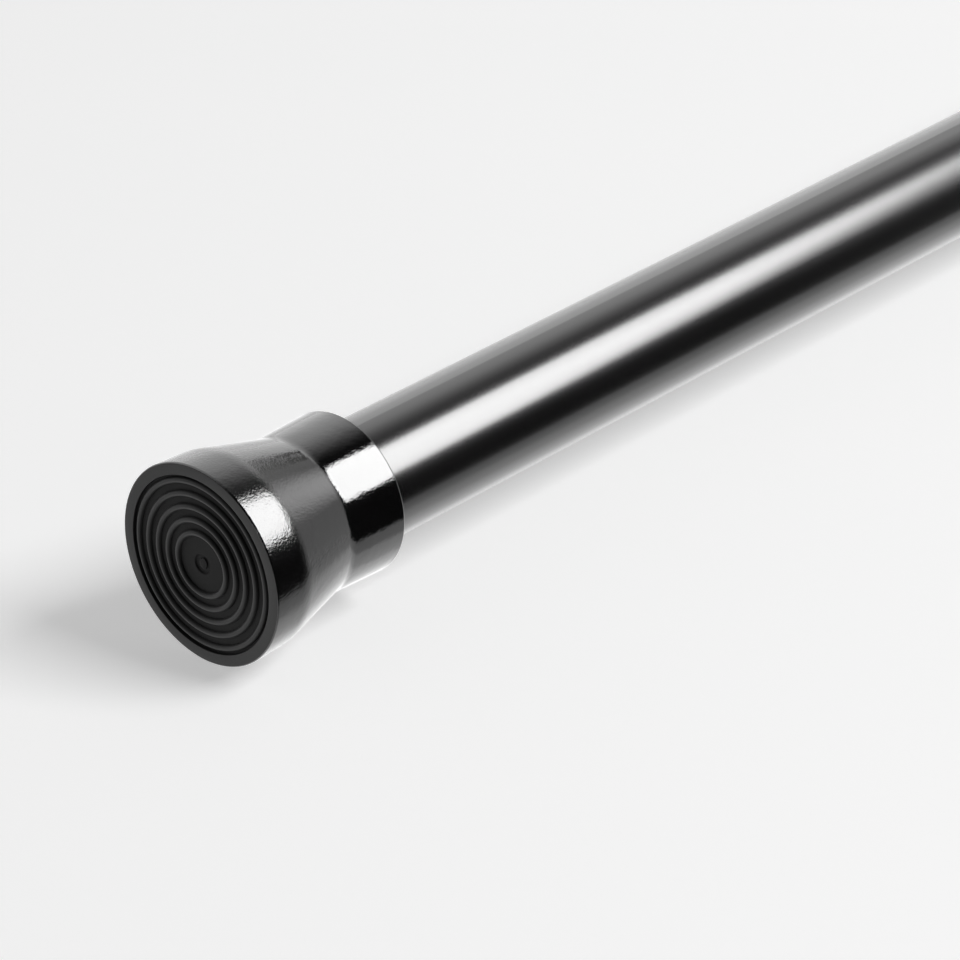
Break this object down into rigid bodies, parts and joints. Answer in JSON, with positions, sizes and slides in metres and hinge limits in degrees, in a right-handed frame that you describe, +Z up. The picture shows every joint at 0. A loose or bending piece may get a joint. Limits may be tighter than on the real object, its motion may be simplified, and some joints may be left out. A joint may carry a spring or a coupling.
{
  "type": "telescoping cargo bar",
  "caption": "Black twist-lock telescoping cargo bar with a flared, ringed soft foot at each end and a spring-loaded far foot.",
  "frame": {"origin": "centre of the near foot's ringed face, on the bar's axis", "axes": "+X along the bar from the near foot to the far foot, +Z up, with the bar lying level"},
  "size_m": [1.04, 0.0412, 0.0412],
  "materials": {
    "tube_coat": "satin black powder coat",
    "inner_coat": "satin black coat with light slide marks",
    "foot_rubber": "glossy moulded side, matt ringed face",
    "black_nylon": "moulded satin",
    "collar_plastic": "fine moulded texture",
    "natural_nylon": "natural moulded nylon",
    "felt": "pressed wool felt",
    "ring_rubber": "hard matt rubber",
    "pin_steel": "phosphated spring steel",
    "black_pin": "black oxide",
    "zinc_steel": "bright zinc plate",
    "spring_steel": "oiled music wire"
  },
  "bodies": {
    "outer_bar": {"outer_tube": "tube_coat", "foot_near": "foot_rubber", "plug_near": "black_nylon", "mouth_collar": "collar_plastic", "mouth_ring": "felt"},
    "guide": {"guide_bush": "natural_nylon"},
    "inner_bar": {"lock_spindle": "natural_nylon", "spindle_pin": "pin_steel", "end_washer": "zinc_steel", "end_screw": "zinc_steel", "inner_tube": "inner_coat", "spring_seat": "natural_nylon", "seat_pin": "pin_steel", "foot_spring": "spring_steel", "inner_end_bush": "natural_nylon"},
    "cam": {"cam_ring": "ring_rubber"},
    "spring_foot": {"foot_sleeve": "tube_coat", "sleeve_collar": "collar_plastic", "sleeve_ring": "felt", "push_rod": "natural_nylon", "travel_pin": "black_pin", "plug_far": "black_nylon", "foot_far": "foot_rubber"}
  },
  "joints": [
    {"name": "telescope", "type": "slide", "parent": "outer_bar", "child": "guide", "axis": [1, 0, 0], "range_m": [0, 0.61]},
    {"name": "twist_lock", "type": "hinge", "parent": "guide", "child": "inner_bar", "pos_m": [0.08, 0, 0], "axis": [1, 0, 0], "range_deg": [0, 45]},
    {"name": "cam_shift", "type": "hinge", "parent": "inner_bar", "child": "cam", "pos_m": [0.065, 0, 0.0009], "axis": [1, 0, 0], "range_deg": [-45, 0]},
    {"name": "foot_push", "type": "slide", "parent": "inner_bar", "child": "spring_foot", "axis": [1, 0, 0], "range_m": [-0.018, 0], "stiffness_N_per_m": 4000, "springref_m": 0.012, "deforming": ["foot_spring"]}
  ],
  "couplings": [
    {"joint": "cam_shift", "follows": "twist_lock", "ratio": -1}
  ]
}
